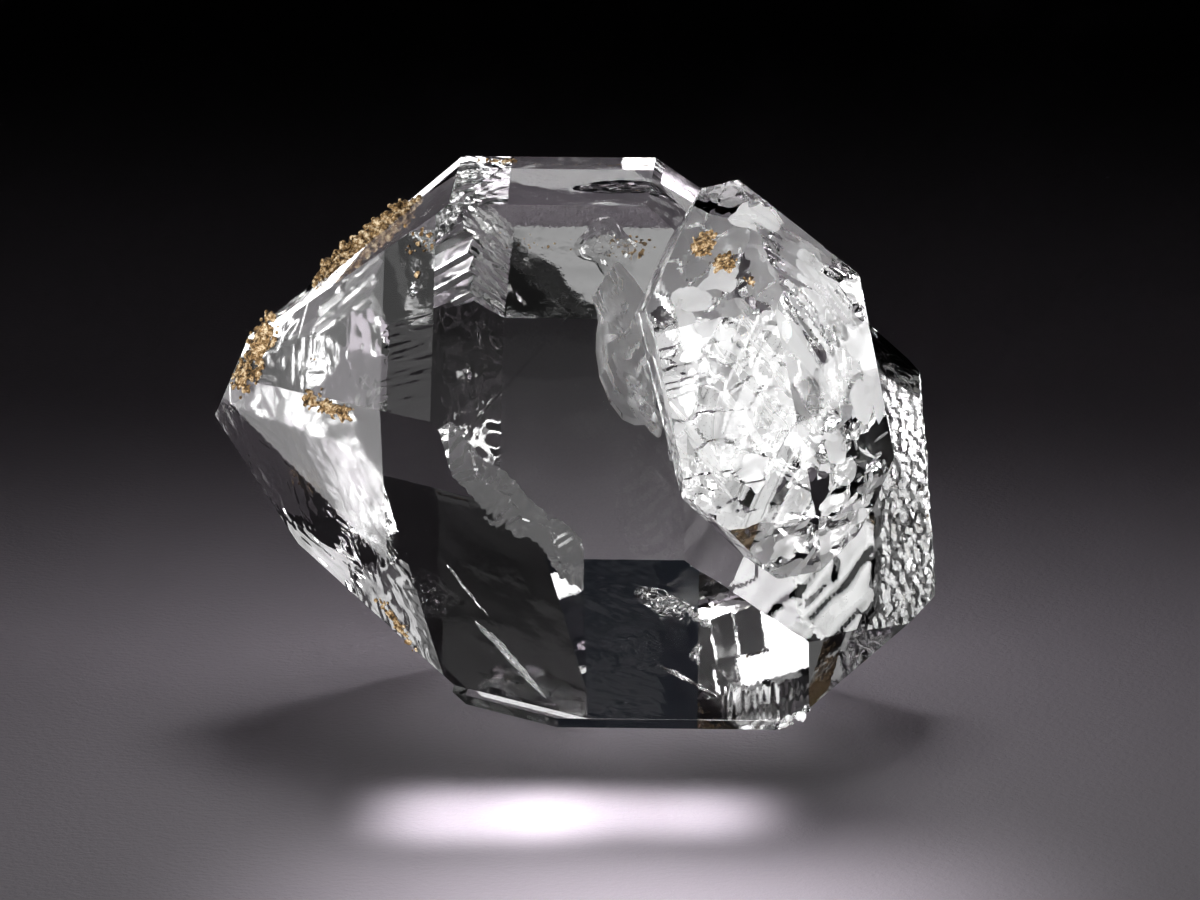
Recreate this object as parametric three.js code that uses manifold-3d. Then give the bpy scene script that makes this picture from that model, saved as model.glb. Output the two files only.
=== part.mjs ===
// A doubly terminated quartz crystal of the Herkimer kind, lying on one of its prism faces. A smaller
// crystal has grown through its right front shoulder, and brown crust sits in a few places.
//
// Millimetres, +Z up. The large crystal's c axis lies along X, with its clean tip towards -X. The
// smaller crystal is on the front, -Y. The origin is the centre of the base of the whole box.

import * as THREE from "three";
import { ConvexGeometry } from "three/addons/geometries/ConvexGeometry.js";
import { mergeVertices } from "three/addons/utils/BufferGeometryUtils.js";
import Module from "manifold-3d";

const wasm = await Module();
wasm.setup();

// Quartz: the normal of a tip face leans this far from the c axis, and six sides stand 60 degrees apart.
const TIP_LEAN = THREE.MathUtils.degToRad(51.79);

// Sides of a crystal. turn: degrees about the axis from its first direction. out: the prism face's
// distance from the axis. low, high: where along the axis the two tip faces of this side begin.
const LARGE = {
  centre: new THREE.Vector3(0, 0, 0),
  axis: new THREE.Vector3(1, 0, 0),
  first: new THREE.Vector3(0, 0, 1),
  sides: {
    top: { turn: 0, out: 10.82, low: -5.23, high: 2.88 },
    upperFront: { turn: 60, out: 8.28, low: -5.76, high: 4.88 },
    lowerFront: { turn: 120, out: 10.51, low: 0.56, high: 9.66 },
    bottom: { turn: 180, out: 10.49, low: -4.62, high: 8.31 },
    lowerBack: { turn: 240, out: 10.69, low: -3.55, high: 4.8 },
    upperBack: { turn: 300, out: 11.09, low: -5.15, high: 7.45 },
  },
};
const SMALL = {
  centre: new THREE.Vector3(7.73, -6.27, 4.51),
  axis: new THREE.Vector3(-0.2, 0.214, 0.957).normalize(),
  first: new THREE.Vector3(0, -1, 0),
  sides: {
    left: { turn: -75, out: 4.51, low: -4.34, high: 3.64 },
    frontLeft: { turn: -15, out: 4.51, low: -5.79, high: 2.48 },
    frontRight: { turn: 45, out: 4.51, low: -6.2, high: 3.1 },
    right: { turn: 105, out: 4.15, low: -4.34, high: 3.23 },
    backRight: { turn: 165, out: 4.51, low: 0.7, high: 2.15 },
    backLeft: { turn: 225, out: 4.51, low: -2.52, high: 3.64 },
  },
};

// Where the large crystal broke off its bed: the left tip and the whole right end are flat scars, each
// through a point.
const TIP_SCAR = { normal: new THREE.Vector3(-0.92, 0, 0.39), point: new THREE.Vector3(-14.33, 0, 2.94) };
const END_SCAR = { normal: new THREE.Vector3(0.997, 0.03, 0.078), point: new THREE.Vector3(14.6, 0, -2) };

// A thin ledge along the foot of the lower left tip face.
const FOOT_LEDGE = { out: 0.75, height: 0.45 };

// Growth ledges across the small crystal's front left side. along, side: centre on the face.
const GROWTH_LEDGES = [
  { along: 1.95, side: 1.55, width: 1.5, height: 0.2, rise: 0.2 },
  { along: 1.45, side: 1.5, width: 1.6, height: 0.3, rise: 0.12 },
  { along: 0.85, side: 1.6, width: 1.4, height: 0.26, rise: 0.22 },
  { along: 0.3, side: 1.45, width: 1.5, height: 0.34, rise: 0.14 },
  { along: -0.35, side: 1.55, width: 1.3, height: 0.26, rise: 0.2 },
  { along: -2.1, side: 0.95, width: 1.2, height: 0.22, rise: 0.16 },
  { along: -2.6, side: 0.85, width: 1.3, height: 0.24, rise: 0.22 },
  { along: -3.1, side: 0.7, width: 1.2, height: 0.2, rise: 0.14 },
];

// Slanting furrows high on the small crystal's front right side.
const FURROWS = [
  { along: 2.1, side: 0.9, length: 3.4, width: 0.34 },
  { along: 1.8, side: 0.2, length: 3.6, width: 0.26 },
  { along: 1.7, side: -0.5, length: 3.0, width: 0.38 },
];
const FURROW_SLANT = THREE.MathUtils.degToRad(32);
const FURROW_DEPTH = 0.18;

const PIT = { along: 1.47, side: -1.92, radius: 0.5 };
const CHIPS = { count: 8, from: -5.2, to: 0.1, radius: 0.34 };
const BEADS = { count: 9, from: 6.9, to: 9.4, radius: 0.24 };
const RIM_GRAINS = { rows: 3, columns: 15, radius: 0.34, reach: 1.5, top: 1.2, foot: -6.2 };

// Crust lies clear of the quartz by this gap, and a lump is this much flatter than wide.
const CRUST_GAP = 0.05;
const LUMP_FLATTEN = 0.6;

// Patches of overlapping lumps on the large crystal. stations: [along the axis, sideways] on the face.
// spread: how far the lumps stray sideways from the line through the stations.
const CRUST_PATCHES = {
  crust_upper_edge: {
    face: ["top", "low"],
    stations: [[-10.4, 2.5], [-9.5, 2.95], [-8.5, 3.3], [-7.4, 3.85]],
    count: 18,
    radius: 0.52,
    spread: 0.75,
  },
  crust_tip: {
    face: ["upperFront", "low"],
    stations: [[-12.7, 4.3], [-13.3, 3.4], [-13.6, 2.5], [-14.1, 1.9]],
    count: 15,
    radius: 0.46,
    spread: 0.6,
  },
  crust_ridge: {
    face: ["upperFront", "low"],
    stations: [[-11.1, 0.75], [-10.2, 0.0], [-9.2, -0.5]],
    count: 10,
    radius: 0.34,
    spread: 0.3,
  },
};
// Two round spots of crust high on the small crystal's front left tip face.
const SPOTS = {
  crust_spot_upper: { along: 5.58, side: 0.7, radius: 0.5 },
  crust_spot_lower: { along: 4.65, side: -0.28, radius: 0.46 },
};

const QUARTZ = { color: 0xe9edf0, roughness: 0.05, metalness: 0, transparent: true, opacity: 0.35 };
const CRUST = { color: 0xa9814a, roughness: 0.95, metalness: 0 };

// A repeatable value between 0 and 1 for each number.
function scatter(number) {
  const value = Math.sin(number * 12.9898) * 43758.5453;
  return value - Math.floor(value);
}

function solidOf(geometry) {
  const bare = new THREE.BufferGeometry();
  bare.setAttribute("position", geometry.getAttribute("position"));
  bare.setIndex(geometry.index);
  const merged = mergeVertices(bare, 1e-4);
  const vertProperties = new Float32Array(merged.getAttribute("position").array);
  const triVerts = new Uint32Array(merged.index.array);
  return new wasm.Manifold(new wasm.Mesh({ numProp: 3, vertProperties, triVerts }));
}

function geometryOf(solid) {
  const { vertProperties, triVerts } = solid.getMesh();
  const geometry = new THREE.BufferGeometry();
  geometry.setAttribute("position", new THREE.BufferAttribute(new Float32Array(vertProperties), 3));
  geometry.setIndex(new THREE.BufferAttribute(new Uint32Array(triVerts), 1));
  geometry.computeVertexNormals();
  return geometry;
}

// The plane through a point, facing along normal.
function facing(normal, point) {
  return new THREE.Plane().setFromNormalAndCoplanarPoint(normal.clone().normalize(), point);
}

// A direction square to the crystal's axis, turned by degrees from its first direction.
function radial(crystal, degrees) {
  const start = crystal.first.clone().projectOnPlane(crystal.axis).normalize();
  return start.applyAxisAngle(crystal.axis, THREE.MathUtils.degToRad(degrees));
}

// The prism face and the two tip faces of one side. grow moves each of them outwards.
function sideFaces(crystal, side, grow = 0) {
  const outward = radial(crystal, side.turn);
  const onAxis = (height) => crystal.centre.clone().addScaledVector(crystal.axis, height);
  const faces = {};
  for (const [name, height, sense] of [["prism", 0, 0], ["high", side.high, 1], ["low", side.low, -1]]) {
    const normal = outward.clone().multiplyScalar(sense ? Math.sin(TIP_LEAN) : 1);
    normal.addScaledVector(crystal.axis, sense * Math.cos(TIP_LEAN));
    const point = onAxis(height).addScaledVector(outward, side.out).addScaledVector(normal, grow);
    faces[name] = facing(normal, point);
  }
  return faces;
}

function allFaces(crystal, grow = 0) {
  return Object.values(crystal.sides).flatMap((side) => Object.values(sideFaces(crystal, side, grow)));
}

// The point where three planes meet, or null where two of them are parallel.
function corner(a, b, c) {
  const rows = [a, b, c].flatMap(({ normal }) => normal.toArray());
  const matrix = new THREE.Matrix3().set(...rows);
  if (Math.abs(matrix.determinant()) < 1e-6) return null;
  return new THREE.Vector3(-a.constant, -b.constant, -c.constant).applyMatrix3(matrix.invert());
}

// The convex solid behind every one of the planes.
function solidBehind(planes) {
  const corners = [];
  planes.forEach((a, i) =>
    planes.slice(i + 1).forEach((b, j) =>
      planes.slice(i + j + 2).forEach((c) => {
        const point = corner(a, b, c);
        const outside = !point || planes.some((plane) => plane.distanceToPoint(point) > 1e-5);
        if (outside || corners.some((other) => other.distanceTo(point) < 1e-3)) return;
        corners.push(point);
      }),
    ),
  );
  return solidOf(new ConvexGeometry(corners));
}

// The axes of a face: y runs up the crystal's axis, z points out and x completes them.
function faceAxes(crystal, plane) {
  const z = plane.normal.clone();
  const y = crystal.axis.clone().projectOnPlane(z).normalize();
  return new THREE.Matrix4().makeBasis(y.clone().cross(z), y, z);
}

// A point on a face at a height along the axis and a distance sideways, to the left seen from outside.
function onFace(crystal, plane, along, side) {
  const sideways = plane.normal.clone().cross(crystal.axis).normalize();
  const outward = plane.normal.clone().projectOnPlane(crystal.axis).normalize();
  const point = crystal.centre.clone().addScaledVector(crystal.axis, along).addScaledVector(sideways, side);
  return point.addScaledVector(outward, -plane.distanceToPoint(point) / plane.normal.dot(outward));
}

// The point of the edge between two faces at a height along the crystal's axis.
function onEdge(crystal, a, b, along) {
  const level = crystal.centre.clone().addScaledVector(crystal.axis, along);
  return corner(a, b, facing(crystal.axis, level));
}

// A geometry turned by turn about its own z, laid on a face at point.
function laidOn(crystal, plane, point, geometry, turn = 0) {
  const pose = faceAxes(crystal, plane).setPosition(point);
  return solidOf(geometry.rotateZ(turn).applyMatrix4(pose));
}

// A rough lump about point, squashed along direction.
function lump(point, radius, direction, flatten, seed) {
  const geometry = new THREE.IcosahedronGeometry(radius, 1);
  geometry.rotateY(scatter(seed) * Math.PI).scale(1, 1, flatten * (0.8 + 0.4 * scatter(seed + 0.5)));
  const turn = new THREE.Quaternion().setFromUnitVectors(new THREE.Vector3(0, 0, 1), direction);
  return solidOf(geometry.applyQuaternion(turn).translate(point.x, point.y, point.z));
}

// The sum of some solids, the numbers from 0 to count - 1, and the i-th of count even steps.
const joined = (solids) => solids.reduce((sum, next) => sum.add(next));
const range = (count) => Array.from({ length: count }, (_, i) => i);
const between = (from, to, i, count) => THREE.MathUtils.lerp(from, to, i / (count - 1));

const large = Object.fromEntries(
  Object.entries(LARGE.sides).map(([name, side]) => [name, sideFaces(LARGE, side)]),
);
const small = Object.fromEntries(
  Object.entries(SMALL.sides).map(([name, side]) => [name, sideFaces(SMALL, side)]),
);

const tipScar = facing(TIP_SCAR.normal, TIP_SCAR.point);
const endScar = facing(END_SCAR.normal, END_SCAR.point);

function largeCrystal() {
  return solidBehind([...allFaces(LARGE), tipScar, endScar]);
}

// The foot ledge repeats the crystal with one tip face further out, below a low ceiling.
function footLedge() {
  const planes = [...allFaces(LARGE), endScar];
  const shifted = planes.find((plane) => plane.normal.dot(large.lowerFront.low.normal) > 0.999);
  shifted.constant -= FOOT_LEDGE.out;
  const up = new THREE.Vector3(0, 0, 1);
  const ceiling = facing(up, up.clone().multiplyScalar(FOOT_LEDGE.height - LARGE.sides.bottom.out));
  return solidBehind([...planes, ceiling]);
}

function growthLedges() {
  const face = small.frontLeft.prism;
  return GROWTH_LEDGES.map(({ along, side, width, height, rise }) => {
    const bar = new THREE.BoxGeometry(width, height, 2 * rise);
    return laidOn(SMALL, face, onFace(SMALL, face, along, side), bar);
  });
}

function furrows() {
  const face = small.frontRight.prism;
  return FURROWS.map(({ along, side, length, width }) => {
    const groove = new THREE.CylinderGeometry(width, width, length, 4);
    groove.scale(1, 1, FURROW_DEPTH / width);
    return laidOn(SMALL, face, onFace(SMALL, face, along, side), groove, FURROW_SLANT);
  });
}

function pit() {
  const face = small.frontRight.prism;
  const point = onFace(SMALL, face, PIT.along, PIT.side);
  return lump(point, PIT.radius, face.normal, LUMP_FLATTEN, 1);
}

// Chips out of the long edge between the upper front face and the lower left tip face.
function chips() {
  return range(CHIPS.count).map((i) => {
    const along = between(CHIPS.from, CHIPS.to, i, CHIPS.count) + 0.3 * scatter(i);
    const point = onEdge(LARGE, large.upperFront.prism, large.lowerFront.low, along);
    const geometry = new THREE.OctahedronGeometry(CHIPS.radius * (0.6 + scatter(i + 9)));
    geometry.rotateX(scatter(i + 3) * Math.PI).rotateZ(scatter(i + 6) * Math.PI);
    return solidOf(geometry.translate(point.x, point.y, point.z));
  });
}

// Glassy beads along the lower right edge of the lower front face.
function beads() {
  return range(BEADS.count).map((i) => {
    const along = between(BEADS.from, BEADS.to, i, BEADS.count);
    const point = onEdge(LARGE, large.lowerFront.prism, large.bottom.high, along);
    point.z = Math.max(point.z, BEADS.radius - LARGE.sides.bottom.out);
    return lump(point, BEADS.radius * (0.6 + 0.4 * scatter(i)), LARGE.axis, 1, i);
  });
}

// Flat-faced grains crowd the upper front tip face along the right end's scar.
function rimGrains() {
  const { rows, columns, radius, reach, top, foot } = RIM_GRAINS;
  const face = large.upperFront.high;
  return range(rows * columns).map((i) => {
    const row = i % rows;
    const side = between(top, foot, Math.floor(i / rows), columns) + 0.3 * scatter(i);
    const inward = radius + (reach * (row + 0.5 * scatter(i + 2))) / rows;
    const rim = onFace(LARGE, face, END_SCAR.point.x, side);
    const along = rim.x - endScar.distanceToPoint(rim) / endScar.normal.x - inward;
    const point = onFace(LARGE, face, along, side);
    const geometry = new THREE.OctahedronGeometry(radius * (0.6 + 0.6 * scatter(i + 4)));
    geometry.rotateX(scatter(i + 5) * Math.PI).rotateY(scatter(i + 6) * Math.PI);
    return solidOf(geometry.translate(point.x, point.y, point.z));
  });
}

function quartz() {
  const crystals = [largeCrystal(), footLedge(), solidBehind(allFaces(SMALL))];
  const grown = [...crystals, ...growthLedges(), ...beads(), ...rimGrains()];
  const lost = [...furrows(), pit(), ...chips()];
  return joined(grown).subtract(joined(lost));
}

// What crust may not enter: both crystals, grown by the gap.
function keepOut() {
  return solidBehind(allFaces(LARGE, CRUST_GAP)).add(solidBehind(allFaces(SMALL, CRUST_GAP)));
}

// Lumps along a patch's stations, lying on its face.
function crustPatch({ face, stations, count, radius, spread }) {
  const plane = large[face[0]][face[1]];
  const points = stations.map(([along, side]) => onFace(LARGE, plane, along, side));
  const path = new THREE.CatmullRomCurve3(points);
  const lumps = range(count).map((i) => {
    const point = path.getPoint(i / (count - 1));
    const across = path.getTangent(i / (count - 1)).cross(plane.normal);
    point.addScaledVector(across, spread * (scatter(i + 0.3) - 0.5));
    return lump(point, radius * (0.75 + 0.5 * scatter(i)), plane.normal, LUMP_FLATTEN, i);
  });
  return joined(lumps).subtract(keepOut());
}

function crustSpot({ along, side, radius }) {
  const plane = small.frontLeft.high;
  const point = onFace(SMALL, plane, along, side);
  return lump(point, radius, plane.normal, LUMP_FLATTEN, along).subtract(keepOut());
}

function mesh(name, solid, finish) {
  const piece = new THREE.Mesh(geometryOf(solid), new THREE.MeshStandardMaterial(finish));
  piece.name = name;
  return piece;
}

// The whole specimen, shifted so that the origin is the centre of its base.
function specimen() {
  const group = new THREE.Group();
  group.add(mesh("quartz", quartz(), QUARTZ));
  for (const [name, patch] of Object.entries(CRUST_PATCHES)) group.add(mesh(name, crustPatch(patch), CRUST));
  for (const [name, spot] of Object.entries(SPOTS)) group.add(mesh(name, crustSpot(spot), CRUST));
  const box = new THREE.Box3().setFromObject(group);
  const middle = box.getCenter(new THREE.Vector3());
  group.position.set(-middle.x, -middle.y, -box.min.z);
  return group;
}

export default specimen();
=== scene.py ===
"""A Herkimer quartz specimen: a clear crystal pointed at both ends that lies on a prism face, with a
smaller, veined crystal grown through its right front shoulder and ochre crust in a few places.

Shapes are worked out in millimetres about the centre of the large crystal, whose c axis is X, and are
moved into the frame when they become meshes.
"""

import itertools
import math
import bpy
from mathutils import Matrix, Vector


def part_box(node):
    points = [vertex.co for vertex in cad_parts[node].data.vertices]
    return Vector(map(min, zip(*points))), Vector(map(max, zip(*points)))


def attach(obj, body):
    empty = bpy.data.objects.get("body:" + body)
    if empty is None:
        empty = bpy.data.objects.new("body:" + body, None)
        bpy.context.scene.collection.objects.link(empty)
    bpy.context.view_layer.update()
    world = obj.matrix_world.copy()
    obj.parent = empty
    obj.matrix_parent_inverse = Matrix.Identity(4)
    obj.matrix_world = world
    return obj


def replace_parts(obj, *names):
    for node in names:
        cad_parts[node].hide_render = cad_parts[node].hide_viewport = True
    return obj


bl_info = {
    "name": "Herkimer quartz specimen",
    "version": (1, 0, 0),
    "blender": (4, 5, 0),
    "location": "View3D > Sidebar > Quartz",
    "description": "Builds a clear double pointed quartz crystal with a smaller crystal and crust on it",
    "category": "Add Mesh",
}

import bmesh
import bpy
import numpy as np
from bpy.props import FloatProperty, FloatVectorProperty, PointerProperty
from mathutils import Matrix, Vector

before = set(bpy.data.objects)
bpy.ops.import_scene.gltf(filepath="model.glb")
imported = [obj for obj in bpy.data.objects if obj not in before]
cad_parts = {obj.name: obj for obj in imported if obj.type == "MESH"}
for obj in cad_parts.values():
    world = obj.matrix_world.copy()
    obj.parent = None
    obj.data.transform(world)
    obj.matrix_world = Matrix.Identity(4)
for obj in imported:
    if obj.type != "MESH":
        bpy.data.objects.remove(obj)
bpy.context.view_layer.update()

MM = 0.001

# Quartz: the normal of a tip face leans this far from the c axis.
TIP_LEAN = math.radians(51.79)

# Crystals, in millimetres. turn: degrees about the axis from its first direction. out: the prism
# face's distance from the axis. low, high: where along the axis the side's two tip faces begin.
LARGE = {
    "centre": (0.0, 0.0, 0.0),
    "axis": (1.0, 0.0, 0.0),
    "first": (0.0, 0.0, 1.0),
    "sides": {
        "top": {"turn": 0, "out": 10.82, "low": -5.23, "high": 2.88},
        "upper_front": {"turn": 60, "out": 8.28, "low": -5.76, "high": 4.88},
        "lower_front": {"turn": 120, "out": 10.51, "low": 0.56, "high": 9.66},
        "bottom": {"turn": 180, "out": 10.49, "low": -4.62, "high": 8.31},
        "lower_back": {"turn": 240, "out": 10.69, "low": -3.55, "high": 4.8},
        "upper_back": {"turn": 300, "out": 11.09, "low": -5.15, "high": 7.45},
    },
}
SMALL = {
    "centre": (7.73, -6.27, 4.51),
    "axis": (-0.2, 0.214, 0.957),
    "first": (0.0, -1.0, 0.0),
    "sides": {
        "left": {"turn": -75, "out": 4.51, "low": -4.34, "high": 3.64},
        "front_left": {"turn": -15, "out": 4.51, "low": -5.79, "high": 2.48},
        "front_right": {"turn": 45, "out": 4.51, "low": -6.2, "high": 3.1},
        "right": {"turn": 105, "out": 4.15, "low": -4.34, "high": 3.23},
        "back_right": {"turn": 165, "out": 4.51, "low": 0.7, "high": 2.15},
        "back_left": {"turn": 225, "out": 4.51, "low": -2.52, "high": 3.64},
    },
}
# Where the large crystal broke off its bed: flat scars, each through a point. Heights on them are
# upright ones.
SCARS = {
    "tip_scar": {"normal": (-0.92, 0.0, 0.39), "point": (-14.33, 0.0, 2.94)},
    "end_scar": {"normal": (0.997, 0.03, 0.078), "point": (14.6, 0.0, -2.0)},
}
UPRIGHT = {"centre": (0.0, 0.0, 0.0), "axis": (0.0, 0.0, 1.0)}
# A thin ledge along the foot of the lower left tip face.
FOOT_LEDGE = {"out": 0.75, "height": 0.45}


def unit(vector):
    """The vector of length 1 in the same direction."""
    vector = np.asarray(vector, float)
    return vector / np.linalg.norm(vector)


class Face:
    """A flat face in millimetres: its outward normal, its distance from the origin, and two axes in it,
    up the crystal's axis and sideways, which run from the point level with the crystal's centre."""

    def __init__(self, crystal, normal, spot):
        axis = unit(crystal["axis"])
        centre = np.array(crystal["centre"])
        self.normal = unit(normal)
        self.offset = float(self.normal @ np.asarray(spot))
        self.sideways = unit(np.cross(self.normal, axis))
        self.up = np.cross(self.sideways, self.normal)
        outward = unit(self.normal - axis * (self.normal @ axis))
        self.centre = centre + outward * (self.offset - self.normal @ centre) / (self.normal @ outward)
        self.stretch = 1 / float(self.up @ axis)

    def point(self, along, side, lift):
        """The place at a height along the crystal's axis, a distance sideways and a lift off the face."""
        steps = np.asarray(along, float) * self.stretch
        spot = self.centre + steps[..., None] * self.up + np.asarray(side, float)[..., None] * self.sideways
        return spot + np.asarray(lift, float)[..., None] * self.normal

    def plane(self, lift=0.0):
        """The plane, lifted: its normal and its distance from the origin."""
        return self.normal, self.offset + lift


def crystal_faces(crystal):
    """The prism face and the two tip faces of every side, by the side's name and prism, low or high."""
    axis = unit(crystal["axis"])
    first = np.array(crystal["first"])
    first = unit(first - axis * (first @ axis))
    faces = {}
    for name, side in crystal["sides"].items():
        turn = math.radians(side["turn"])
        outward = math.cos(turn) * first + math.sin(turn) * np.cross(axis, first)
        edge = np.array(crystal["centre"]) + outward * side["out"]
        faces[name, "prism"] = Face(crystal, outward, edge)
        for kind, sense in (("low", -1), ("high", 1)):
            normal = math.sin(TIP_LEAN) * outward + sense * math.cos(TIP_LEAN) * axis
            faces[name, kind] = Face(crystal, normal, edge + axis * side[kind])
    return faces


SMALL_FACES = crystal_faces(SMALL)
LARGE_FACES = crystal_faces(LARGE)
for scar_name, scar in SCARS.items():
    LARGE_FACES[scar_name, "prism"] = Face(UPRIGHT, scar["normal"], scar["point"])


# Corners are rounded to this many decimals, and lie on a plane when they are as near to it as ON_PLANE.
DECIMALS = 4
ON_PLANE = 5e-4
TINY = 1e-6


def convex_body(planes):
    """Corners and faces of the convex body behind all planes. A corner is where three planes meet
    without passing a fourth. A face lists the corners on its plane by their angle about its normal."""
    normals = np.array([normal for normal, _ in planes])
    offsets = np.array([offset for _, offset in planes])
    trios = np.array(list(itertools.combinations(range(len(planes)), 3)))
    systems = normals[trios]
    solvable = np.abs(np.linalg.det(systems)) > TINY
    points = np.linalg.solve(systems[solvable], offsets[trios[solvable]][..., None])[..., 0]
    points = points[(points @ normals.T <= offsets + TINY).all(axis=1)]
    corners = np.unique(points.round(DECIMALS), axis=0)
    polygons = []
    for normal, offset in planes:
        on_face = np.flatnonzero(np.abs(corners @ normal - offset) < ON_PLANE)
        if len(on_face) < 3:
            continue
        spokes = corners[on_face] - corners[on_face].mean(axis=0)
        across = unit(spokes[0])
        angle = np.arctan2(spokes @ np.cross(normal, across), spokes @ across)
        polygons.append(on_face[np.argsort(angle)])
    return corners, polygons


def crystals_centre():
    """The large crystal's centre in the frame, in millimetres: its left tip, its back edge and its foot
    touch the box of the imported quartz."""
    low, high = (np.array(corner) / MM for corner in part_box("quartz"))
    corners, _ = convex_body([face.plane() for face in LARGE_FACES.values()])
    least, most = corners.min(axis=0), corners.max(axis=0)
    return np.array([low[0] - least[0], high[1] - most[1], low[2] - least[2]])


CENTRE = crystals_centre()


# ---------------------------------------------------------------------------------------------------
# Patterns and masks, worked out from two coordinates in millimetres as whole arrays.

# Random values lie on a square lattice that repeats after LATTICE cells, and starts off the origin.
LATTICE = 64
LATTICE_START = (0.37, 0.61)


def lattice_cells(x, y, cell):
    """Each place's lattice square, and where it lies in it, from 0 to 1."""
    u, v = x / cell + LATTICE_START[0], y / cell + LATTICE_START[1]
    column, row = np.floor(u).astype(int), np.floor(v).astype(int)
    return column, row, u - column, v - row


def scattered_points(rng, x, y, cell):
    """One random point in every lattice square. For a place's own square and the eight about it, this gives
    the square and the two steps from its point to the place."""
    point = rng.uniform(0, 1, (LATTICE, LATTICE, 2))
    column, row, a, b = lattice_cells(x, y, cell)
    around = []
    for i, j in itertools.product((-1, 0, 1), repeat=2):
        square = (column + i) % LATTICE, (row + j) % LATTICE
        around.append((square, a - i - point[square][..., 0], b - j - point[square][..., 1]))
    return around


def smooth_noise(x, y, cell, seed):
    """Random heights on a square lattice, blended between its corners with a smoothstep."""
    heights = np.random.default_rng(seed).uniform(-1, 1, (LATTICE, LATTICE))
    column, row, a, b = lattice_cells(x, y, cell)
    a, b = a * a * (3 - 2 * a), b * b * (3 - 2 * b)
    left, right = column % LATTICE, (column + 1) % LATTICE
    low, high = row % LATTICE, (row + 1) % LATTICE
    near = heights[left, low] * (1 - a) + heights[right, low] * a
    far = heights[left, high] * (1 - a) + heights[right, high] * a
    return near * (1 - b) + far * b


def facet_noise(x, y, cell, seed):
    """Broken glass: every place takes the small tilted plane of the nearest of some scattered points."""
    rng = np.random.default_rng(seed)
    around = scattered_points(rng, x, y, cell)
    tilt = rng.uniform(-1, 1, (LATTICE, LATTICE, 2))
    level = rng.uniform(-0.4, 0.4, (LATTICE, LATTICE))
    nearest = np.full(np.shape(x), np.inf)
    height = np.zeros(np.shape(x))
    for square, dx, dy in around:
        distance = dx * dx + dy * dy
        plane = level[square] + tilt[square][..., 0] * dx + tilt[square][..., 1] * dy
        height = np.where(distance < nearest, plane, height)
        nearest = np.minimum(distance, nearest)
    return height


def grain_noise(x, y, cell, seed):
    """A druse: every place takes the highest of the small, turned, four sided pyramids about it."""
    rng = np.random.default_rng(seed)
    around = scattered_points(rng, x, y, cell)
    turn = rng.uniform(0, math.pi, (LATTICE, LATTICE))
    level = rng.uniform(0.4, 1.0, (LATTICE, LATTICE))
    height = np.full(np.shape(x), -1.0)
    for square, dx, dy in around:
        cos, sin = np.cos(turn[square]), np.sin(turn[square])
        reach = np.maximum(np.abs(cos * dx + sin * dy), np.abs(cos * dy - sin * dx))
        height = np.maximum(height, level[square] - 1.6 * reach)
    return height


def terraces(height, count, soft):
    """Growth steps: the height is drawn to the nearest of count levels per unit, with soft risers."""
    level = np.floor(height * count)
    rest = height * count - level
    return (level + np.clip((rest - 0.5) / soft + 0.5, 0, 1)) / count


def steps_up(x, edges, rises, width):
    """Stairs: at each edge the height changes by its rise, over the given width."""
    x = np.asarray(x, float)[..., None]
    return (np.asarray(rises) * np.clip((x - np.asarray(edges)) / width + 0.5, 0, 1)).sum(axis=-1)


def window(x, low, high, blur):
    """1 between low and high, and 0 outside, with soft ends."""
    return np.clip((x - low) / blur + 0.5, 0, 1) * np.clip((high - x) / blur + 0.5, 0, 1)


# A zigzag has this many ridges and valleys.
FLANKS = 120


def zigzag(x, spacing, rise, seed):
    """Straight flanks between ridges and valleys at random distances and heights."""
    rng = np.random.default_rng(seed)
    edges = np.cumsum(rng.uniform(*spacing, FLANKS))
    heights = rng.uniform(*rise, FLANKS) * np.where(np.arange(FLANKS) % 2, 1, -1)
    return np.interp(x, edges - edges[FLANKS // 2], heights)


def bent_zigzag(run, across, bend, cell, spacing, rise, seeds):
    """A zigzag whose ridges follow the direction run, bent sideways by a smooth noise."""
    return zigzag(across + bend * smooth_noise(run, across, cell, seeds[0]), spacing, rise, seeds[1])


def spot_at(x, y, at, radius):
    """A soft round mask: 1 at a place, 0 from a radius on."""
    reach = np.clip(1 - np.hypot(x - at[0], y - at[1]) / radius, 0, 1)
    return reach * reach * (3 - 2 * reach)


def turned(x, y, degrees):
    """The coordinates along and across a direction that is turned from x towards y."""
    cos, sin = math.cos(math.radians(degrees)), math.sin(math.radians(degrees))
    return x * cos + y * sin, y * cos - x * sin


# ---------------------------------------------------------------------------------------------------
# Meshes.


def new_object(name, data):
    """An object that shows a mesh, a light or a camera in the scene."""
    item = bpy.data.objects.new(name, data)
    bpy.context.scene.collection.objects.link(item)
    return item


def new_mesh(name, places, polygons, material):
    """A mesh object from lists of places and polygons, in whatever unit the places have."""
    mesh = bpy.data.meshes.new(name)
    mesh.from_pydata(places, [], polygons)
    mesh.update()
    mesh.materials.append(material)
    return new_object(name, mesh)


def new_piece(name, vertices, polygons, material):
    """A mesh object from arrays in millimetres about the large crystal's centre."""
    places = (np.asarray(vertices, float) + CENTRE) * MM
    return new_mesh(name, places.tolist(), [list(map(int, polygon)) for polygon in polygons], material)


def apply_modifier(piece, modifier):
    """Makes what a modifier gives the piece's own mesh."""
    with bpy.context.temp_override(object=piece, active_object=piece):
        bpy.ops.object.modifier_apply(modifier=modifier.name)


def combine(piece, tool, operation):
    """Joins two closed meshes, cuts the second from the first, or keeps what they share. The second one
    is removed."""
    modifier = piece.modifiers.new(operation, "BOOLEAN")
    modifier.operation = operation
    modifier.solver = "MANIFOLD"
    modifier.material_mode = "TRANSFER"
    modifier.object = tool
    apply_modifier(piece, modifier)
    bpy.data.objects.remove(tool, do_unlink=True)


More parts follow.
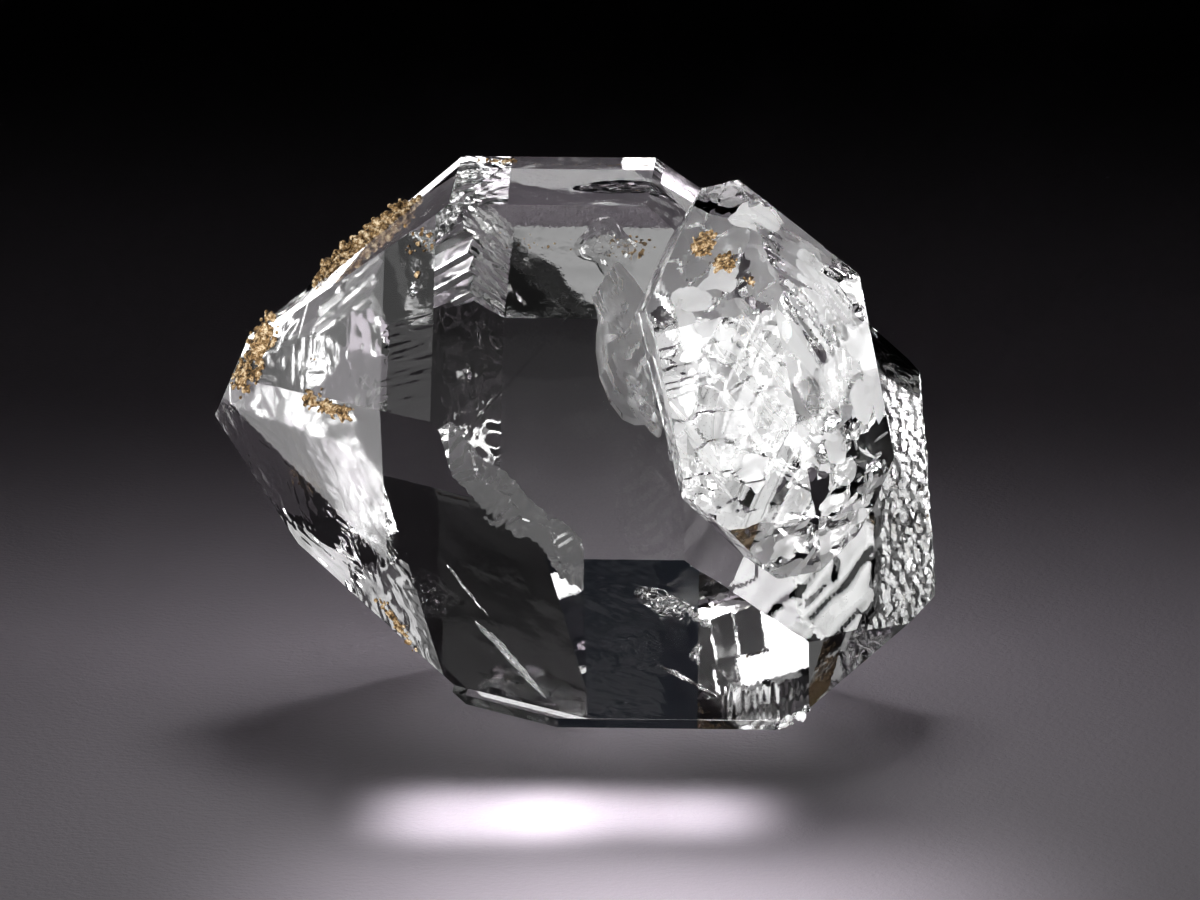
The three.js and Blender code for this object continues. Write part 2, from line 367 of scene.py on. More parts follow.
def closed_sheet(front, back):
    """Joins two grids of points of one size, front and back, into a closed mesh with walls at the rim."""
    rows, columns = front.shape[:2]
    count = rows * columns
    index = np.arange(count).reshape(rows, columns)
    quads = np.stack([index[:-1, :-1], index[:-1, 1:], index[1:, 1:], index[1:, :-1]], axis=-1)
    quads = quads.reshape(-1, 4)
    rim = np.concatenate([index[0, :-1], index[:-1, -1], index[-1, :0:-1], index[:0:-1, 0]])
    after = np.roll(rim, -1)
    walls = np.stack([after, rim, rim + count, after + count], axis=-1)
    vertices = np.concatenate([front.reshape(-1, 3), back.reshape(-1, 3)])
    polygons = np.concatenate([quads, quads[:, ::-1] + count, walls])
    return vertices, polygons


def coat(piece, material, chosen):
    """Gives the chosen faces of a mesh a second material."""
    piece.data.materials.append(material)
    piece.data.polygons.foreach_set("material_index", np.asarray(chosen, np.int32))
    piece.data.update()


def union_of(shapes):
    """Joins closed shapes, each a material and the vertices and polygons, one after another."""
    whole = None
    for material, shape in shapes:
        piece = new_piece("shape", *shape, material)
        if whole:
            combine(whole, piece, "UNION")
        else:
            whole = piece
    return whole


# The blocks that cut a face reach this far, which is past the whole crystal.
FAR = 60.0
# A face with relief is cut from a body whose face lies this far outside of it, and its grid reaches this
# far past its corners.
RELIEF_ROOM = 0.2
GRID_MARGIN = 0.4


def grid_lines(low, high, step, zones=()):
    """Grid lines a step apart from low to high, and closer in the zones, each (from, to, its step)."""
    edges = [edge for zone in zones for edge in zone[:2] if low < edge < high]
    cuts = np.unique([low, high, *edges])
    stretches = []
    for start, end in zip(cuts[:-1], cuts[1:]):
        middle = (start + end) / 2
        fine = min([step] + [zone[2] for zone in zones if zone[0] < middle < zone[1]])
        stretches.append(np.linspace(start, end, 1 + math.ceil((end - start) / fine))[:-1])
    return np.concatenate(stretches + [[high]])


def relief_block(face, rows, columns, height, material):
    """A block that fills everything behind a face with relief. Its front is a grid over the face, with
    rows along and columns across it, lifted by height(along, side); its back is the same, FAR behind."""
    rows_out = np.concatenate(([-FAR], rows, [FAR]))
    columns_out = np.concatenate(([FAR], columns[::-1], [-FAR]))
    v, u = np.meshgrid(rows_out, columns_out, indexing="ij")
    inner_v, inner_u = np.clip(v, rows[0], rows[-1]), np.clip(u, columns[0], columns[-1])
    front = face.point(v, u, np.minimum(height(inner_v, inner_u), 0.0))
    back = face.point(v, u, -FAR)
    return new_piece("block", *closed_sheet(front, back), material)


def face_grid(face, corners, steps, zones):
    """Grid lines along and across a face that is moved out by RELIEF_ROOM, with a margin all round."""
    on_face = corners[np.abs(corners @ face.normal - face.offset - RELIEF_ROOM) < ON_PLANE]
    if len(on_face) < 3:
        raise RuntimeError("the relief's face isn't on the crystal")
    along = (on_face - face.centre) @ face.up / face.stretch
    side = (on_face - face.centre) @ face.sideways
    return [
        grid_lines(values.min() - GRID_MARGIN, values.max() + GRID_MARGIN, step, zone)
        for values, step, zone in zip((along, side), steps, zones)
    ]


def flake(centre, across, along, radii, gap, crumple, seed, rings, spokes):
    """A crack as a thin closed lens: rings about its centre, with an uneven rim of a few random waves.
    Its two skins are a gap apart, which closes at the rim, and crumple(x, y) lifts both together."""
    along = unit(along)
    across = unit(np.asarray(across) - along * (np.asarray(across) @ along))
    normal = np.cross(across, along)
    rng = np.random.default_rng(seed)
    angle = np.arange(spokes) * math.tau / spokes
    waves = np.arange(2, 7)[:, None]
    size, start = rng.uniform(-1, 1, waves.shape), rng.uniform(0, 6, waves.shape)
    rim = 1 + 0.5 * (size / waves * np.cos(waves * angle + start)).sum(axis=0)
    radius = (np.arange(1, rings + 1) / rings)[:, None]
    x = np.concatenate([[0.0], (radii[0] * radius * rim * np.cos(angle)).ravel()])
    y = np.concatenate([[0.0], (radii[1] * radius * rim * np.sin(angle)).ravel()])
    middle = centre + x[:, None] * across + y[:, None] * along + crumple(x, y)[:, None] * normal
    half = np.concatenate([[gap], np.repeat(gap * (1 - radius[:, 0] ** 2), spokes)])[:, None] * normal / 2
    inner = 1 + (rings - 1) * spokes
    vertices = np.concatenate([middle + half, (middle - half)[:inner]])
    ring = 1 + np.arange(rings * spokes).reshape(rings, spokes)
    ahead = np.roll(ring, -1, axis=1)
    fan = np.stack([np.zeros_like(ring[0]), ring[0], ahead[0]], axis=-1)
    band = np.stack([ring[:-1], ring[1:], ahead[1:], ahead[:-1]], axis=-1).reshape(-1, 4)
    shift = len(middle)
    under = [np.where(faces < inner, faces + shift, faces)[:, ::-1] for faces in (fan, band)]
    return vertices, [*fan.tolist(), *band.tolist(), *under[0].tolist(), *under[1].tolist()]


def balls(spots, radii, squash, normals, seed, rows=5):
    """Rough lumps in one mesh: latitude and longitude grids with an uneven radius at each point, placed at
    the spots and squashed along their normals."""
    rng = np.random.default_rng(seed)
    count, columns = len(spots), 8
    lat = np.linspace(-math.pi / 2, math.pi / 2, rows + 2)[1:-1, None]
    lon = np.arange(columns)[None, :] * math.tau / columns
    belt = np.broadcast_arrays(np.cos(lat) * np.cos(lon), np.cos(lat) * np.sin(lon), np.sin(lat))
    sphere = np.concatenate([[[0, 0, -1]], np.stack(belt, axis=-1).reshape(-1, 3), [[0, 0, 1]]])
    rough = rng.uniform(0.75, 1.2, (count, len(sphere), 1))
    shape = sphere * rough * np.asarray(radii)[:, None, None]
    flat = np.einsum("npc,nc->np", shape, normals)[..., None] * np.asarray(normals)[:, None, :]
    vertices = (shape - (1 - squash) * flat + np.asarray(spots)[:, None, :]).reshape(-1, 3)
    index = 1 + np.arange(rows * columns).reshape(rows, columns)
    ahead = np.roll(index, -1, axis=1)
    quads = np.stack([index[:-1], ahead[:-1], ahead[1:], index[1:]], axis=-1).reshape(-1, 4)
    foot = np.stack([np.zeros(columns, int), ahead[0], index[0]], axis=-1)
    cap = np.stack([np.full(columns, rows * columns + 1), index[-1], ahead[-1]], axis=-1)
    shifts = (np.arange(count) * len(sphere))[:, None, None]
    polygons = []
    for faces in (quads, foot, cap):
        polygons += (faces[None] + shifts).reshape(-1, faces.shape[1]).tolist()
    return vertices, polygons


# A loose part with fewer corners than this is a speck.
SPECK = 12


def drop_specks(piece):
    """Removes the specks that the cutting leaves. Corners belong to one part where they end up with the
    same lowest number, which is passed on along the edges."""
    mesh = piece.data
    ends = np.empty(2 * len(mesh.edges), np.int32)
    mesh.edges.foreach_get("vertices", ends)
    start, end = ends.reshape(-1, 2).T
    island, before = np.arange(len(mesh.vertices)), None
    while before is None or (island != before).any():
        before = island.copy()
        least = np.minimum(island[start], island[end])
        np.minimum.at(island, start, least)
        np.minimum.at(island, end, least)
        island = island[island]
    speck = np.bincount(island, minlength=len(island))[island] < SPECK
    shape = bmesh.new()
    shape.from_mesh(mesh)
    shape.verts.ensure_lookup_table()
    bmesh.ops.delete(shape, geom=[shape.verts[i] for i in np.flatnonzero(speck)], context="VERTS")
    shape.to_mesh(mesh)
    shape.free()


def smooth_but_edges(piece, degrees):
    """Smooth shading that keeps the edges sharper than an angle."""
    piece.data.shade_smooth()
    piece.data.set_sharp_from_angle(angle=math.radians(degrees))


# ---------------------------------------------------------------------------------------------------
# Materials.


def linear(colour):
    """An sRGB hex colour, such as #B98A4A, as linear red, green, blue and alpha."""
    channels = [int(colour[i : i + 2], 16) / 255 for i in (1, 3, 5)]
    return [c / 12.92 if c <= 0.04045 else ((c + 0.055) / 1.055) ** 2.4 for c in channels] + [1.0]


def add_node(tree, kind, links=None, **settings):
    """A node with its settings, by attribute or by input name, and the sockets that feed its inputs."""
    node = tree.nodes.new(kind)
    for name, value in settings.items():
        if hasattr(node, name):
            setattr(node, name, value)
        else:
            node.inputs[name.replace("_", " ")].default_value = value
    for name, source in (links or {}).items():
        tree.links.new(source, node.inputs[name])
    return node


def new_material(name):
    """A material, its node tree, its shader and the output that gives places on the piece."""
    material = bpy.data.materials.new(name)
    material.use_nodes = True
    tree = material.node_tree
    place = add_node(tree, "ShaderNodeTexCoord").outputs["Object"]
    return material, tree, tree.nodes["Principled BSDF"], place


def speckle(tree, place, per_mm, detail, rough):
    """Noise on a piece with so many repeats per millimetre, while its places are in metres."""
    return add_node(
        tree, "ShaderNodeTexNoise", {"Vector": place}, Scale=per_mm / MM, Detail=detail, Roughness=rough
    ).outputs["Fac"]


def emboss(tree, shader, height, strength, depth):
    """Bumps on a surface, of a height and a depth in millimetres."""
    bump = add_node(tree, "ShaderNodeBump", {"Height": height}, Strength=strength, Distance=depth * MM)
    tree.links.new(bump.outputs["Normal"], shader.inputs["Normal"])


def quartz_glass(name, settings, roughness=0.0, clear=1.0, ripple=0.002, film=0.0):
    """Rock crystal: colourless, glassy, and bent light shows every face behind. A ripple too fine for the
    mesh softens what the faces mirror. A crack's skin is rougher. clear is the share that lets light
    through, and film the thickness in nanometres of a water film that gives rainbow colours."""
    material, tree, shader, place = new_material(name)
    shader.inputs["Base Color"].default_value = (1, 1, 1, 1)
    shader.inputs["Roughness"].default_value = roughness
    shader.inputs["IOR"].default_value = settings.ior
    shader.inputs["Transmission Weight"].default_value = clear
    shader.inputs["Thin Film Thickness"].default_value = film
    emboss(tree, shader, speckle(tree, place, 2.2, 3.0, 0.6), 0.5, ripple)
    return material


def quartz_finishes(settings):
    """The crystals' materials, by name: polished by growth, etched to a satin or matt, sugary with fine
    druse, a clean crack, a frosted one, a milky veil of healed cracks, and a crack with a film of water."""
    return {
        "clear": quartz_glass("rock_crystal", settings),
        "satin": quartz_glass("rock_crystal_etched", settings, 0.07, clear=0.94),
        "matt": quartz_glass("rock_crystal_deeply_etched", settings, 0.12, clear=0.86),
        "sugary": quartz_glass("rock_crystal_druse", settings, 0.13),
        "crack": quartz_glass("rock_crystal_crack", settings, 0.05),
        "frosted": quartz_glass("rock_crystal_frosted_crack", settings, 0.42, ripple=0.02),
        "veil": quartz_glass("rock_crystal_milky_veil", settings, 0.5, clear=0.45, ripple=0.03),
        "film": quartz_glass("rock_crystal_wet_crack", settings, 0.12, clear=0.8, film=430.0),
    }


def crust_material(settings):
    """Limonite and clay stain: dull, porous, ochre with darker brown hollows and pale grains."""
    material, tree, shader, place = new_material("limonite_crust")
    shader.inputs["Roughness"].default_value = 0.9
    shader.inputs["Specular IOR Level"].default_value = 0.3
    ramp = add_node(tree, "ShaderNodeValToRGB", {"Fac": speckle(tree, place, 4.5, 6.0, 0.75)})
    stops = ramp.color_ramp.elements
    stops[0].position, stops[0].color = 0.43, settings.dark
    stops[1].position, stops[1].color = 0.52, settings.light
    stops.new(0.63).color = settings.pale
    tree.links.new(ramp.outputs["Color"], shader.inputs["Base Color"])
    emboss(tree, shader, speckle(tree, place, 14.0, 4.0, 0.7), 0.8, 0.05)
    return material


def board_material(settings):
    """Matt grey board: pale and even, with a fine tooth that keeps it from looking like plastic."""
    material, tree, shader, place = new_material("matt_board")
    shader.inputs["Base Color"].default_value = (*settings.floor, 1.0)
    shader.inputs["Roughness"].default_value = 0.6
    shader.inputs["Specular IOR Level"].default_value = 0.3
    emboss(tree, shader, speckle(tree, place, 3.0, 3.0, 0.7), 0.6, 0.12)
    return material


# ---------------------------------------------------------------------------------------------------
# Relief of the faces: heights in millimetres, at a height along the crystal's axis and a distance sideways.

# Where the relief or the finish of a face changes, along the axis or sideways. The flat ledge is L shaped:
# it ends at its foot, and at one distance sideways above its bend and at another below.
WAVY_STRIP = (-6.05, -3.0)
LEDGE_FOOT, LEDGE_BEND, LEDGE_SIDES = -8.4, -7.0, (0.4, 1.9)
STRIAE_ALONG, STRIAE_SIDE = (-7.9, -5.7), (-0.9, 3.3)
STREAKS_BELOW = -8.2
ETCHED_TIP = -7.95
ETCHED_FOOT, ETCHED_SLANT, ETCHED_CORNER = -7.9, 1.67, -13.2
STROKES_ALONG, FOOT_STRIAE_FROM, FOOT_STRIAE_BELOW = (-5, 4.7), 6.2, -3.4
# The grainy rim begins here, and a little before it its finer grid and its finish.
RIM, RIM_GRID, RIM_FINISH = 12.5, 12.3, 12.4
PIT, PIT_RADIUS, PIT_DEPTH = (1.6, -1.7), 0.5, 0.3
# A window that ends here has no end on that side.
OPEN = 40


def back_tip_relief(along, side):
    """Fine growth steps across the axis that turn square in places, over slow tilted facets; a strip
    next to the prism face is wavy, with swirls and round pits."""
    across = smooth_noise(along, side * 0.22, 0.2, 11)
    lengthwise = smooth_noise(along * 0.22, side, 0.2, 14)
    turn = window(smooth_noise(along, side, 1.5, 18), 0.15, 2, 0.2)
    hooks = terraces(across * (1 - turn) + lengthwise * turn, 3, 0.6)
    slow = facet_noise(along, side, 1.9, 12)
    swirl = 0.5 * smooth_noise(side, along, 0.9, 17)
    waves = smooth_noise(along + swirl, side * 0.6, 0.36, 15) + 0.7 * smooth_noise(along, side, 1.1, 16)
    pits = np.clip(grain_noise(along * 0.8, side, 1.3, 13) - 0.62, 0, 1)
    strip = window(along, *WAVY_STRIP, 0.12)
    return -0.05 + (1 - strip) * (0.0042 * hooks + 0.007 * slow) + strip * (0.011 * waves - 0.16 * pits)


def back_prism_relief(along, side):
    """Glassy, with a few slow waves."""
    return -0.02 + 0.004 * smooth_noise(along, side, 2.6, 17) + 0.0016 * smooth_noise(along, side, 1.0, 10)


def ledge_side(along):
    """How far sideways the L shaped ledge reaches."""
    return np.where(along > LEDGE_BEND, *LEDGE_SIDES)


def stepped_relief(along, side):
    """A flat, L shaped ledge, with tilted terraces next to it and below."""
    past = np.clip(side - ledge_side(along), 0, None)
    below = np.clip(LEDGE_FOOT - along, 0, None)
    level = np.where(past > 0, -0.29 + 0.15 * (past % 1.3), -0.03)
    level = np.where(below > 0, -0.22 + 0.12 * (below % 1.1), level)
    uneven = 0.03 * facet_noise(along, side, 1.6, 9) + 0.003 * smooth_noise(along * 0.2, side, 0.4, 8)
    return level - np.where((past > 0) | (below > 0), 0.03 + uneven, 0)


def front_tip_relief(along, side):
    """Curved striae along the axis in a strip next to the prism face, over slow waves."""
    bend = 0.12 * np.sin(along * 2.0)
    striae = smooth_noise(along * 0.22, side + bend, 0.15, 18)
    striae += 0.5 * smooth_noise(along * 0.3, side, 0.08, 19)
    strip = window(along, *STRIAE_ALONG, 0.1) * window(side, *STRIAE_SIDE, 0.4)
    return -0.02 + 0.0055 * striae * strip + 0.004 * smooth_noise(along, side, 1.8, 20)


def brushed_relief(along, side):
    """Soft streaks that slant down the face near the tip, over slow waves."""
    run, across = turned(along, side, -63)
    streaks = smooth_noise(run * 0.1, across, 0.2, 23)
    waves = smooth_noise(run * 0.4, across, 1.5, 24)
    strong = window(along, -OPEN, STREAKS_BELOW, 1.2)
    return -0.03 + strong * (0.0055 * streaks + 0.01 * waves) + 0.001 * waves


def foot_prism_relief(along, side):
    """Short slanting strokes on the left half, and upright striae low on the right."""
    run, across = turned(along, side, -25)
    strokes = smooth_noise(run * 0.4, across, 0.14, 35)
    striae = smooth_noise(along, side * 0.08, 0.12, 36)
    left = window(along, *STROKES_ALONG, 0.3)
    right = window(along, FOOT_STRIAE_FROM, OPEN, 0.4) * window(side, -OPEN, FOOT_STRIAE_BELOW, 0.6)
    return -0.02 + 0.006 * strokes * left + 0.005 * striae * right


def rim_relief(along, side):
    """Coarse grains crowd the outer rim; slanting facets with straight ridges lie inside of it."""
    rim = window(along, RIM, OPEN, 0.5)
    run, across = turned(along, side, 55)
    ridges = bent_zigzag(run, across, 0.2, 1.4, (0.3, 0.9), (0.01, 0.08), (21, 29))
    broad = facet_noise(along, side * 0.5, 1.6, 25)
    swing = 0.3 * smooth_noise(along, side * 0.6, 0.8, 31)
    columns = zigzag(along * 1.2 + swing, (0.16, 0.34), (0.01, 0.06), 38)
    grains = 0.3 * grain_noise(along, side * 0.8, 0.3, 22) + 0.2 * facet_noise(along, side, 0.2, 30)
    return -0.18 + rim * (0.14 * grains + 0.6 * columns) + (1 - rim) * (0.7 * ridges + 0.07 * broad + 0.08)


def scar_relief(along, side):
    """A rough fracture: tilted facets, large and small, under a druse of fine grains."""
    broken = 0.09 * facet_noise(along, side, 1.7, 26) + 0.05 * facet_noise(along, side, 0.6, 27)
    return -0.19 + broken + 0.05 * grain_noise(along, side, 0.34, 28)


def ledge_relief(along, side):
    """Fine growth ledges square to the axis near the upper left edge, blocky facets below; broad blades
    run down to the right over the rest."""
    rng = np.random.default_rng(31)
    count = 8
    edges = np.sort(rng.uniform(0.2, 2.1, count))
    rises = rng.uniform(0.006, 0.022, count) * np.where(np.arange(count) % 2, 1, -1)
    level = along + 0.1 * side + 0.12 * smooth_noise(side, along, 0.8, 32)
    stairs = steps_up(level, edges, rises - rises.mean(), 0.04)
    blocks = facet_noise(along, side * 0.8, 1.0, 33)
    run, across = turned(side, along, -52)
    blades = bent_zigzag(run * 0.4, across, 0.1, 1.1, (0.45, 1.0), (0.01, 0.08), (34, 37))
    left = window(side + 0.35 * smooth_noise(along, side, 0.9, 39), 0.8, OPEN, 0.5)
    return -0.14 + left * (stairs + 0.05 * blocks) + (1 - left) * (blades + 0.03 * blocks)


def furrow_relief(along, side):
    """Straight furrows side by side, running down to the right high on the face; slow waves elsewhere,
    and one pit."""
    run, across = turned(along, side, 32)
    furrows = bent_zigzag(run, across, 0.05, 0.8, (0.14, 0.4), (0.03, 0.1), (41, 44))
    high = window(run, 0.4, 3.4, 0.5) * window(across, -2.3, 0.3, 0.3)
    slow = smooth_noise(along, side, 1.6, 42)
    return -0.13 + high * furrows + 0.03 * slow - PIT_DEPTH * spot_at(along, side, PIT, PIT_RADIUS)


def bevel_relief(seed, ribs):
    """The relief of a small tip face, from its seed and the share of the ribs."""
    def relief(along, side):
        """Tilted facets, large and small, and ribs side by side that run down to the right."""
        run, across = turned(along, side, 35)
        ribbed = bent_zigzag(run, across, 0.08, 0.9, (0.16, 0.5), (0.02, 0.07), (seed + 10, seed))
        broken = 0.07 * facet_noise(along * 0.7, side, 1.3, seed)
        broken += 0.02 * facet_noise(along, side, 0.45, seed + 20)
        return -0.14 + broken + ribs * ribbed

    return relief


def everywhere(along, side):
    """The whole of a face."""
    return np.full(np.shape(along), True)


def etched_foot(along, side):
    """The part of the lower left tip face that is etched: near the tip, but for its lowest corner."""
    return (along < ETCHED_FOOT) & (along + ETCHED_SLANT * side > ETCHED_CORNER)


# The faces with relief: its function, the grid's steps along and across the face, zones along and across
# it that have a finer grid, and a finish with the part of the face that has it.
LARGE_RELIEF = {
    ("lower_back", "low"): {"relief": back_tip_relief, "steps": (0.08, 0.12)},
    ("lower_back", "prism"): {"relief": back_prism_relief, "steps": (0.3, 0.3)},
    ("upper_back", "low"): {
        "relief": stepped_relief,
        "steps": (0.2, 0.2),
        "finish": ("satin", lambda along, side: side > ledge_side(along)),
    },
    ("upper_front", "low"): {
        "relief": front_tip_relief,
        "steps": (0.3, 0.3),
        "zones": ((), ((-1.1, 3.5, 0.05),)),
        "finish": ("satin", lambda along, side: along < ETCHED_TIP),
    },
    ("lower_front", "low"): {
        "relief": brushed_relief,
        "steps": (0.14, 0.14),
        "finish": ("matt", etched_foot),
    },
    ("lower_front", "prism"): {
        "relief": foot_prism_relief,
        "steps": (0.1, 0.12),
        "zones": (((6.0, 10.0, 0.06),), ()),
    },
    ("upper_front", "high"): {
        "relief": rim_relief,
        "steps": (0.16, 0.14),
        "zones": (((RIM_GRID, 20.0, 0.07),), ()),
        "finish": ("sugary", lambda along, side: along > RIM_FINISH),
    },
    ("end_scar", "prism"): {"relief": scar_relief, "steps": (0.14, 0.14), "finish": ("sugary", everywhere)},
}
SMALL_RELIEF = {
    ("front_left", "prism"): {"relief": ledge_relief, "steps": (0.07, 0.1)},
    ("front_right", "prism"): {"relief": furrow_relief, "steps": (0.1, 0.08)},
    ("front_left", "high"): {"relief": bevel_relief(51, 0.0), "steps": (0.12, 0.12)},
    ("front_right", "high"): {"relief": bevel_relief(52, 1.0), "steps": (0.12, 0.1)},
    ("left", "high"): {"relief": bevel_relief(53, 0.0), "steps": (0.14, 0.14)},
    ("front_right", "low"): {"relief": bevel_relief(54, 0.0), "steps": (0.14, 0.14)},
}


def coat_part(piece, face, material, part):
    """Gives a second material to a block's faces whose middles lie on a part of a crystal face."""
    polygons = piece.data.polygons
    middles = np.empty(3 * len(polygons))
    polygons.foreach_get("center", middles)
    places = middles.reshape(-1, 3) / MM - CENTRE - face.centre
    coat(piece, material, part(places @ face.up / face.stretch, places @ face.sideways))


def crystal_with_relief(name, faces, reliefs, finishes):
    """The convex crystal, with each face that has relief first moved out and then cut back to it."""
    planes = [face.plane(RELIEF_ROOM if key in reliefs else 0.0) for key, face in faces.items()]
    corners, polygons = convex_body(planes)
    crystal = new_piece(name, corners, polygons, finishes["clear"])
    for key, form in reliefs.items():
        rows, columns = face_grid(faces[key], corners, form["steps"], form.get("zones", ((), ())))
        block = relief_block(faces[key], rows, columns, form["relief"], finishes["clear"])
        if "finish" in form:
            finish, part = form["finish"]
            coat_part(block, faces[key], finishes[finish], part)
        combine(crystal, block, "INTERSECT")
    return crystal


def edge_points(face_a, face_b, stations):
    """The points of the edge between two faces of the large crystal at stations along its axis."""
    normals = np.array([face_a.normal, face_b.normal, [1.0, 0.0, 0.0]])
    sides = np.stack([np.full(len(stations), face_a.offset), np.full(len(stations), face_b.offset), stations])
    return np.linalg.solve(normals, sides).T


# The long edge between the upper front face and the lower left tip face is chipped between two stations.
# lean: how far the chips lean to the tip face. step, room: the grid's step, and how far it reaches past.
CHIPS = {"from": -5.3, "to": 0.5, "lean": 0.78, "shallow": 0.24, "deep": 0.62, "step": 0.08, "room": 0.6}


def chipped_edge_block(material):
    """A bevel along the chipped edge: shell shaped facets of random depth, and none past the stations."""
    upper, lower = LARGE_FACES["upper_front", "prism"], LARGE_FACES["lower_front", "low"]
    ends = edge_points(upper, lower, np.array([CHIPS["from"], CHIPS["to"]]))
    lean = CHIPS["lean"]
    face = Face(LARGE, (1 - lean) * upper.normal + lean * lower.normal, ends[0])
    sides = (ends - face.centre) @ face.sideways
    room = CHIPS["room"]
    rows = grid_lines(CHIPS["from"] - room, CHIPS["to"] + room, CHIPS["step"])
    columns = grid_lines(sides.min() - 2 * room, sides.max() + 2 * room, CHIPS["step"])

    def depth(along, side):
        chipped = window(along, CHIPS["from"], CHIPS["to"], 0.25)
        facets, waves = facet_noise(along, side * 0.7, 1.3, 191), smooth_noise(along, side, 1.1, 193)
        shells = np.clip(0.5 + 0.4 * facets + 0.5 * waves, 0, 1)
        ribs = 0.02 * np.sin(16 * along - 9 * side + 5 * smooth_noise(along, side, 1.2, 192))
        return -chipped * (CHIPS["shallow"] + (CHIPS["deep"] - CHIPS["shallow"]) * shells + ribs)

    return relief_block(face, rows, columns, depth, material)


# ---------------------------------------------------------------------------------------------------
# Cracks. Directions are given to someone who stands in front of the small crystal: right, up and back.

RIGHT = np.array([0.999, 0.043, 0.0])
BACK = unit([-0.042, 0.973, -0.227])
UP = np.cross(RIGHT, BACK)
DOWN_RIGHT = unit(0.62 * RIGHT - 0.785 * UP)
UP_RIGHT = unit(0.785 * RIGHT + 0.62 * UP)


def in_small(right, up, back):
    """A place in the small crystal, from its centre, in millimetres."""
    return np.asarray(SMALL["centre"]) + right * RIGHT + up * UP + back * BACK


def contact_crumple(x, y):
    """The torn skin between the two crystals: broad blades that run down to the right, large facets, and
    broken glass at the lower right."""
    run, across = turned(x, y, -52)
    blades = bent_zigzag(run, across, 0.15, 1.6, (0.5, 1.1), (0.1, 0.34), (61, 62))
    coarse = facet_noise(x, y, 1.9, 64)
    broken = 0.4 * facet_noise(x, y, 0.55, 63)
    low = np.clip((x * 0.9 - y - 1.2) / 1.0, 0, 1)
    return (1 - low) * (0.8 * blades + 0.45 * coarse) + low * (broken + 0.3 * coarse)


# The sheet's reach to the right and up, the step of its grid, how far it lies behind the small crystal's
# middle, its gap, and how far inside of the faces it ends.
CONTACT = {"right": (-5.6, 5.7), "up": (-7.2, 7.3), "step": 0.13, "back": 1.0, "gap": 0.04, "inset": 0.35}


def contact_sheet(finishes):
    """A thin crumpled gap behind the small crystal, trimmed to stay inside of it, and frosted in islands."""
    x, y = np.meshgrid(*(np.arange(*CONTACT[way], CONTACT["step"]) for way in ("right", "up")))
    middle = in_small(x[..., None], y[..., None], (CONTACT["back"] + contact_crumple(x, y))[..., None])
    half = CONTACT["gap"] / 2 * BACK
    vertices, polygons = closed_sheet(middle - half, middle + half)
    sheet = new_piece("sheet", vertices, polygons, finishes["crack"])
    places = (vertices[polygons].mean(axis=1) - SMALL["centre"]) @ np.stack([RIGHT, UP], axis=-1)
    coat(sheet, finishes["frosted"], smooth_noise(places[:, 0] * 0.8, places[:, 1] * 0.5, 1.1, 66) > -0.1)
    trim = [face.plane(-CONTACT["inset"]) for face in SMALL_FACES.values()]
    combine(sheet, new_piece("trim", *convex_body(trim), finishes["crack"]), "INTERSECT")
    return sheet


# Blades in the small crystal that run down to the right: their middle (right, up, back), half width,
# half length and finish.
BLADES = (
    ((-0.9, -1.3, -1.6), (0.34, 3.2), "veil"),
    ((-0.15, -0.5, -1.9), (0.26, 2.7), "frosted"),
    ((0.55, 0.9, -1.4), (0.3, 2.4), "frosted"),
    ((2.6, 3.0, -1.7), (0.42, 1.5), "veil"),
    ((1.5, 2.7, -1.5), (0.3, 1.9), "frosted"),
    ((-2.4, -2.6, -1.4), (0.3, 1.8), "frosted"),
    ((-1.9, -3.6, -1.2), (0.26, 1.7), "crack"),
    ((1.6, -0.6, -1.2), (0.36, 2.2), "crack"),
    ((-2.9, 2.0, -1.8), (0.5, 0.9), "veil"),
)
# Flat flakes in it: their middle, half width and length, the degrees by which they turn to the right and
# lean back, and their finish.
FLAKES = (
    ((-0.62, 1.3, -2.2), (0.32, 0.5), 20, 15, "film"),
    ((0.2, 1.55, -2.1), (0.26, 0.5), 35, 20, "film"),
    ((4.2, -0.6, -0.6), (0.55, 1.5), 10, 25, "veil"),
    ((-2.7, 2.7, -1.7), (0.8, 0.7), -20, 35, "veil"),
    ((-2.4, 1.0, -1.2), (0.7, 0.5), -30, 30, "veil"),
    ((1.3, 4.4, -0.8), (1.0, 0.7), 30, 40, "frosted"),
    ((-1.2, 4.9, -0.5), (0.9, 0.8), -30, 35, "frosted"),
    ((3.4, 1.6, -1.0), (0.7, 1.0), 25, 10, "frosted"),
    ((-2.8, -0.7, -1.5), (0.5, 0.9), -45, 10, "veil"),
    ((0.2, -3.9, -0.9), (0.9, 0.8), 15, -20, "frosted"),
    ((2.2, -3.2, -1.2), (0.6, 0.7), 25, 30, "veil"),
    ((-1.5, 3.6, -1.7), (0.9, 0.7), -25, 30, "veil"),
    ((1.7, 3.3, -1.5), (0.7, 1.4), 35, 20, "veil"),
    ((-0.3, 6.0, -0.3), (0.9, 0.8), 10, 45, "veil"),
    ((2.7, 2.0, -1.6), (0.4, 1.1), 30, 20, "frosted"),
    ((3.9, 0.7, -0.7), (0.5, 0.9), 20, 20, "veil"),
    ((3.5, -1.2, -0.9), (0.5, 1.0), 15, 20, "veil"),
)
SPARKLES = {"count": 34, "middle": (1.9, -3.0, -0.7), "reach": (1.7, 1.6, 0.8), "radius": (0.15, 0.42)}


# How far apart a crack's skins are at its middle, in the small crystal and in the large one.
SMALL_GAP, LARGE_GAP = 0.03, 0.04


